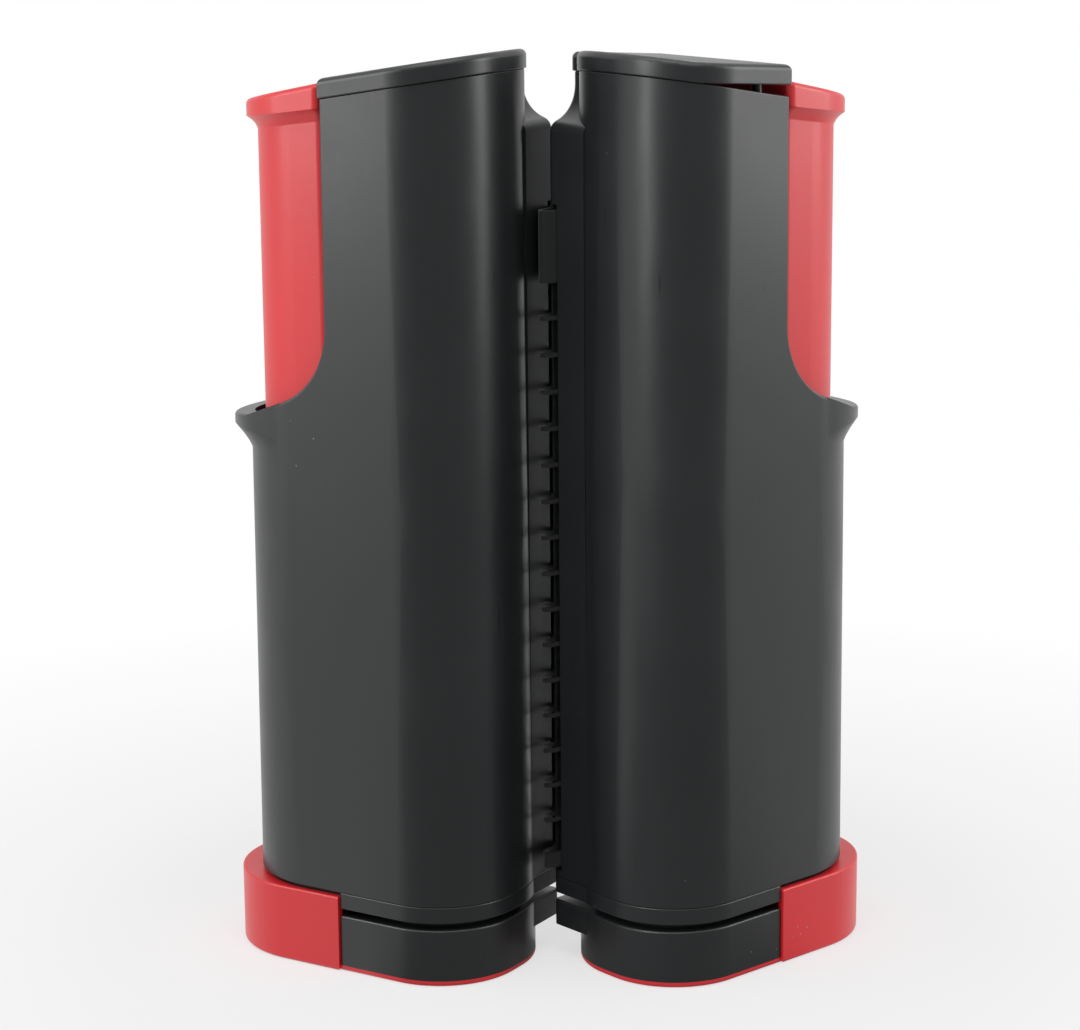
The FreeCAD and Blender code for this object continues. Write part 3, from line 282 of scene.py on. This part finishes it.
def net_cloth(name, colour, tape, along, coordinates):
    """Knotted polyester net: square cells in twisted cord, a plain woven band along the top and a hem below.

    The cells are counted along a level direction, in metres of the piece's own coordinates.
    """
    look = bpy.context.scene.clamp_finish
    low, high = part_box("free_net")
    material, tree, shader = new_material(name)
    where = coordinates_of(tree, coordinates)
    height = dot(tree, where, (0, 1, 0) if coordinates == "UV" else (0, 0, 1))
    across = calculate(tree, "PINGPONG", dot(tree, where, along), look.net_cell / 2)
    upward = calculate(tree, "PINGPONG", height, look.net_cell / 2)
    nearest = calculate(tree, "MINIMUM", across, upward)
    cord = calculate(tree, "LESS_THAN", nearest, look.net_cord / 2)
    knot = calculate(tree, "LESS_THAN", calculate(tree, "ADD", across, upward), look.net_cord * 1.1)
    band = calculate(tree, "GREATER_THAN", height, high.z - look.net_tape_width)
    hem = calculate(tree, "LESS_THAN", height, low.z + NET_HEM)
    cords = calculate(tree, "MAXIMUM", cord, knot)
    edges = calculate(tree, "MAXIMUM", band, hem)
    tree.links.new(calculate(tree, "MAXIMUM", cords, edges), shader.inputs["Alpha"])
    fibre = noise(tree, where, 2500.0, 3.0)
    twist = mix(tree, fibre, darker(colour, 0.6), darker(colour, 1.8))
    weave = mix(tree, fibre, darker(tape, 0.75), darker(tape, 1.4))
    tree.links.new(mix(tree, band, twist, weave), shader.inputs["Base Color"])
    bump(tree, shader, fibre, 0.6, 0.1 * MM)
    shader.inputs["Roughness"].default_value = 0.8
    shader.inputs["Sheen Weight"].default_value = 0.2
    return material


def smooth_shade(piece):
    """Join a moulding's loose triangles and shade its curves smoothly, with its true edges kept."""
    weld = piece.modifiers.new("joined", "WELD")
    weld.merge_threshold = MERGE_DISTANCE
    split = piece.modifiers.new("edges", "EDGE_SPLIT")
    split.split_angle = EDGE_ANGLE
    split.use_edge_sharp = False
    piece.modifiers.new("shading", "WEIGHTED_NORMAL")


def merged_copy(node):
    """Mesh data of a CAD node with its loose triangles joined."""
    copy = bmesh.new()
    copy.from_mesh(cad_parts[node].data)
    bmesh.ops.remove_doubles(copy, verts=copy.verts, dist=MERGE_DISTANCE)
    return copy


def new_piece(name, mesh_data):
    """Object at the origin for a finished bmesh."""
    mesh = bpy.data.meshes.new(name)
    mesh_data.to_mesh(mesh)
    mesh_data.free()
    piece = bpy.data.objects.new(name, mesh)
    bpy.context.scene.collection.objects.link(piece)
    return piece


def dress(piece, material):
    """Give a piece one material."""
    piece.data.materials.clear()
    piece.data.materials.append(material)


def dress_nodes(names, material, smooth=False):
    """Give the named nodes of both posts one material, and smooth shading if they are mouldings."""
    for side in SIDES:
        for name in names:
            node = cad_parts["%s_%s" % (side, name)]
            dress(node, material)
            if smooth:
                smooth_shade(node)


def squeezed_spring(side):
    """The clamp spring, which stands on the base plate under the slider's roof: a copy of its CAD node, its
    loose triangles joined and its coil shaded smoothly, in that node's place.
    """
    name = side + "_clamp_spring"
    coil = merged_copy(name)
    for face in coil.faces:
        face.smooth = abs(face.normal.z) < 0.99
    piece = new_piece(side + "_coil_spring", coil)
    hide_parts(name)
    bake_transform(piece)
    return piece


class CLAMPS_OT_black_shell(Operator):
    """Finish the moulded black pieces: housings, caps, base plates and jaw blocks"""

    bl_idname = "clamps.black_shell"
    bl_label = "Black Shell"

    def execute(self, context):
        look = context.scene.clamp_finish
        black = moulded_plastic("moulded_black_abs", tuple(look.shell), look.shell_roughness, look.grain,
                                relief=0.35)
        dress_nodes(("housing", "top_cap", "base_plate", "jaw_block"), black, smooth=True)
        return {"FINISHED"}


class CLAMPS_OT_red_slider(Operator):
    """Finish the moulded red pieces: sliders and feet"""

    bl_idname = "clamps.red_slider"
    bl_label = "Red Slider"

    def execute(self, context):
        look = context.scene.clamp_finish
        red = moulded_plastic("moulded_red_abs", tuple(look.red), look.red_roughness, look.grain,
                              relief=0.12, coat=0.1)
        dress_nodes(("clamp_slider", "clamp_foot"), red, smooth=True)
        return {"FINISHED"}


class CLAMPS_OT_inside_parts(Operator):
    """Finish the pads, screws, rods, springs and rollers"""

    bl_idname = "clamps.inside_parts"
    bl_label = "Inside Parts"

    def execute(self, context):
        look = context.scene.clamp_finish
        dress_nodes(("upper_jaw_pad", "lower_jaw_pad"), rubber_pad("moulded_rubber", tuple(look.rubber)))
        dress_nodes(("base_screws", "foot_screws", "roller_clip"),
                    drawn_steel("zinc_plated_steel", tuple(look.steel), 0.35))
        drawn = drawn_steel("drawn_steel", tuple(look.steel), 0.25)
        dress_nodes(("spring_rod", "roller_axle", "rewind_spring"), drawn)
        for side in SIDES:
            dress(squeezed_spring(side), drawn)
        dress_nodes(("roller_tube",), drawn_steel("drawn_aluminium", linear("d0d0d2"), 0.3))
        acetal = moulded_plastic("turned_acetal", tuple(look.acetal), 0.4, look.grain, relief=0.1)
        dress_nodes(("roller_bushes",), acetal)
        return {"FINISHED"}


def wound_net(side):
    """The net on one roller: a spiral of cloth, turned from the roller's face out to the roll's size."""
    low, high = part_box(side + "_net_roll")
    tube_low, tube_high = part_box(side + "_roller_tube")
    outer = (high.x - low.x) / 2 - NET_THICKNESS
    inner = (tube_high.x - tube_low.x) / 2 + NET_THICKNESS
    turns = int((outer - inner) / LAYER_PITCH)
    growth = (outer / inner) ** (1 / (turns * TURN_STEPS))
    spiral = bmesh.new()
    foot = spiral.verts.new((inner, 0, low.z))
    head = spiral.verts.new((inner, 0, high.z))
    bmesh.ops.subdivide_edges(spiral, edges=[spiral.edges.new((foot, head))], cuts=ROLL_ROWS)
    uv = spiral.loops.layers.uv.new("cloth")
    reached = spiral.verts.layers.float.new("reached")
    column, along = list(spiral.edges), 0.0
    turn = Matrix.Rotation(TURN_ANGLE, 3, "Z")
    for _ in range(turns * TURN_STEPS):
        made = bmesh.ops.extrude_edge_only(spiral, edges=column)["geom"]
        moved = [item for item in made if isinstance(item, bmesh.types.BMVert)]
        column = [item for item in made if isinstance(item, bmesh.types.BMEdge)
                  and all(end in moved for end in item.verts)]
        along += moved[0].co.xy.length * TURN_ANGLE
        bmesh.ops.rotate(spiral, verts=moved, cent=(0, 0, 0), matrix=turn)
        bmesh.ops.scale(spiral, verts=moved, vec=(growth, growth, 1))
        for vert in moved:
            vert[reached] = along
    for face in spiral.faces:
        face.smooth = True
        for loop in face.loops:
            loop[uv].uv = (loop.vert[reached], loop.vert.co.z)
    middle = (low + high) / 2
    bmesh.ops.translate(spiral, verts=spiral.verts, vec=(middle.x, middle.y, 0))
    piece = new_piece(side + "_wound_net", spiral)
    wall = piece.modifiers.new("thickness", "SOLIDIFY")
    wall.thickness = NET_THICKNESS
    wall.offset = 0
    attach(piece, side + "_roller")
    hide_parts(side + "_net_roll")
    return piece


def drawn_net():
    """The net between the two slots: a copy of its CAD solid, its loose triangles joined and its sides shaded
    smoothly, in that node's place.
    """
    cloth = merged_copy("free_net")
    for face in cloth.faces:
        face.smooth = abs(face.normal.z) < 0.5
    surface = sum(face.calc_area() for face in cloth.faces)
    piece = new_piece("drawn_net", cloth)
    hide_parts("free_net")
    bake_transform(piece)
    return piece


class CLAMPS_OT_net(Operator):
    """Wind the net on both rollers and draw it from slot to slot"""

    bl_idname = "clamps.net"
    bl_label = "Net"

    def execute(self, context):
        look = context.scene.clamp_finish
        colours = (tuple(look.net), tuple(look.tape))
        wound = net_cloth("knotted_polyester_net_wound", *colours, (1, 0, 0), "UV")
        drawn = net_cloth("knotted_polyester_net_drawn", *colours, NET_DIRECTION, "Object")
        for side in SIDES:
            dress(wound_net(side), wound)
        dress(drawn_net(), drawn)
        return {"FINISHED"}


def soft_lamp(name, place, target, size, power, only=None):
    """Soft rectangular lamp that faces a point and may light one post only."""
    data = bpy.data.lights.new(name, "AREA")
    data.shape = "RECTANGLE"
    data.size, data.size_y = size
    data.energy = power
    lamp = bpy.data.objects.new(name, data)
    bpy.context.scene.collection.objects.link(lamp)
    lamp.location = place
    lamp.rotation_euler = (Vector(target) - Vector(place)).to_track_quat("-Z", "Y").to_euler()
    lamp.visible_camera = False
    if only:
        lamp.light_linking.receiver_collection = only


def beside(point, azimuth, distance, height):
    """Place at a bearing from a point on a post: 0 is towards the camera's side, positive to the right."""
    turn = math.radians(azimuth)
    return (point[0] + distance * math.sin(turn), point[1] - distance * math.cos(turn), height)


def front_share(tree, vector):
    """How far a level direction points at the dim room in front of the posts, from 0 to 1."""
    facing = dot(tree, vector, (math.sin(ROOM_BEARING), -math.cos(ROOM_BEARING), 0))
    return ramp(tree, facing, 0.28, 0.5)


def mirrored(tree, rays):
    """1 for a ray that a gloss or a clear surface sends, or else 0."""
    return calculate(tree, "MAXIMUM", rays.outputs["Is Glossy Ray"], rays.outputs["Is Transmission Ray"])


def by_ray(tree, rays, diffuse, glossy, camera):
    """Level that depends on what kind of ray asks: values or sockets for the three kinds."""
    indirect = mix(tree, mirrored(tree, rays), diffuse, glossy, "FLOAT")
    return mix(tree, rays.outputs["Is Camera Ray"], indirect, camera, "FLOAT")


def pale_floor(studio):
    """Matt floor that keeps the soft shadow near the posts and is white further out."""
    material, tree, shader = new_material("pale_floor")
    shader.inputs["Base Color"].default_value = tuple(studio.floor)
    shader.inputs["Roughness"].default_value = 0.9
    shader.inputs["Specular IOR Level"].default_value = 0.0
    where = coordinates_of(tree)
    away = add_node(tree, "ShaderNodeVectorMath", {0: where}, operation="LENGTH").outputs["Value"]
    bearing = add_node(tree, "ShaderNodeVectorMath", {0: where}, operation="NORMALIZE").outputs["Vector"]
    shown = mix(tree, front_share(tree, bearing), 1.0, studio.room, "FLOAT")
    rays = add_node(tree, "ShaderNodeLightPath")
    white = add_node(tree, "ShaderNodeEmission", {"Strength": by_ray(tree, rays, 0.0, shown, 1.0)})
    fade = ramp(tree, away, *SHADOW_RADII, SHADOW_SHARE, 1.0)
    seen = calculate(tree, "MULTIPLY", rays.outputs["Is Camera Ray"], fade)
    share = calculate(tree, "MAXIMUM", mirrored(tree, rays), seen)
    surface = add_node(tree, "ShaderNodeMixShader",
                       {"Fac": share, 1: shader.outputs["BSDF"], 2: white.outputs["Emission"]})
    tree.links.new(surface.outputs["Shader"], tree.nodes["Material Output"].inputs["Surface"])
    return material


def lay_floor(studio):
    """Level sheet just under the feet."""
    sheet = bmesh.new()
    bmesh.ops.create_grid(sheet, x_segments=1, y_segments=1, size=FLOOR_HALF)
    bmesh.ops.translate(sheet, verts=sheet.verts, vec=(0, 0, -FLOOR_DROP))
    floor = new_piece("floor", sheet)
    dress(floor, pale_floor(studio))


def light_sky(studio):
    """White all round, with a dim room in front that only gloss shows."""
    world = bpy.data.worlds.new("studio_world")
    bpy.context.scene.world = world
    world.use_nodes = True
    tree = world.node_tree
    tree.nodes.clear()
    front = front_share(tree, coordinates_of(tree, "Generated"))
    shown = mix(tree, front, 1.0, studio.room, "FLOAT")
    rays = add_node(tree, "ShaderNodeLightPath")
    level = by_ray(tree, rays, studio.sky, shown, 1.0)
    air = add_node(tree, "ShaderNodeBackground", {"Color": (1, 1, 1, 1), "Strength": level})
    add_node(tree, "ShaderNodeOutputWorld", {"Surface": air.outputs["Background"]})


def hang_lamps(studio):
    """One large lamp for everything, and a wide and a narrow lamp for each post alone."""
    soft_lamp("overhead_lamp", OVERHEAD_PLACE, OVERHEAD_TARGET, OVERHEAD_SIZE, studio.overhead)
    posts = {}
    for side in SIDES:
        posts[side] = bpy.data.collections.new(side + "_post_pieces")
        for name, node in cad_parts.items():
            if name.startswith(side):
                posts[side].objects.link(node)
    for side, point, bearing, size, setting in LAMPS:
        place = beside(point, bearing, LAMP_DISTANCE, LAMP_HEIGHT)
        target = (point[0], point[1], LAMP_TARGET_HEIGHT)
        soft_lamp("%s_lamp_%d" % (side, bearing), place, target, size, getattr(studio, setting), posts[side])


def place_camera(studio):
    data = bpy.data.cameras.new("camera")
    data.lens = studio.lens
    data.sensor_width = SENSOR_WIDTH
    data.sensor_fit = "HORIZONTAL"
    data.shift_x = CAMERA_SHIFT
    data.clip_start = 0.01
    camera = bpy.data.objects.new("camera", data)
    bpy.context.scene.collection.objects.link(camera)
    camera.location = studio.camera_place
    camera.rotation_euler = (math.pi / 2 - studio.camera_pitch, 0, -studio.camera_yaw)
    bpy.context.scene.camera = camera


class CLAMPS_OT_studio(Operator):
    """Set up the pale floor, the soft lamps and the camera"""

    bl_idname = "clamps.studio"
    bl_label = "Studio"

    def execute(self, context):
        studio = context.scene.studio_setup
        context.scene.view_settings.view_transform = "Standard"
        lay_floor(studio)
        light_sky(studio)
        hang_lamps(studio)
        place_camera(studio)
        return {"FINISHED"}


class CLAMPS_PT_sidebar(Panel):
    """Sizes, colours and steps in the 3D view's sidebar"""

    bl_idname = "CLAMPS_PT_sidebar"
    bl_label = "Net Clamps"
    bl_space_type = "VIEW_3D"
    bl_region_type = "UI"
    bl_category = "Net Clamps"

    def draw(self, context):
        layout = self.layout
        for group in (context.scene.clamp_finish, context.scene.studio_setup):
            box = layout.box()
            for name in type(group).__annotations__:
                box.prop(group, name)
        for step in STEPS:
            layout.operator(step.bl_idname)


STEPS = (CLAMPS_OT_studio, CLAMPS_OT_black_shell, CLAMPS_OT_red_slider, CLAMPS_OT_inside_parts, CLAMPS_OT_net)
CLASSES = (ClampFinish, StudioSetup) + STEPS + (CLAMPS_PT_sidebar,)


def register():
    for cls in CLASSES:
        bpy.utils.register_class(cls)
    bpy.types.Scene.clamp_finish = PointerProperty(type=ClampFinish)
    bpy.types.Scene.studio_setup = PointerProperty(type=StudioSetup)


def unregister():
    del bpy.types.Scene.studio_setup
    del bpy.types.Scene.clamp_finish
    for cls in reversed(CLASSES):
        bpy.utils.unregister_class(cls)


def main():
    register()
    bpy.ops.clamps.studio()
    bpy.ops.clamps.black_shell()
    bpy.ops.clamps.red_slider()
    bpy.ops.clamps.inside_parts()
    bpy.ops.clamps.net()


if __name__ == "__main__":
    main()
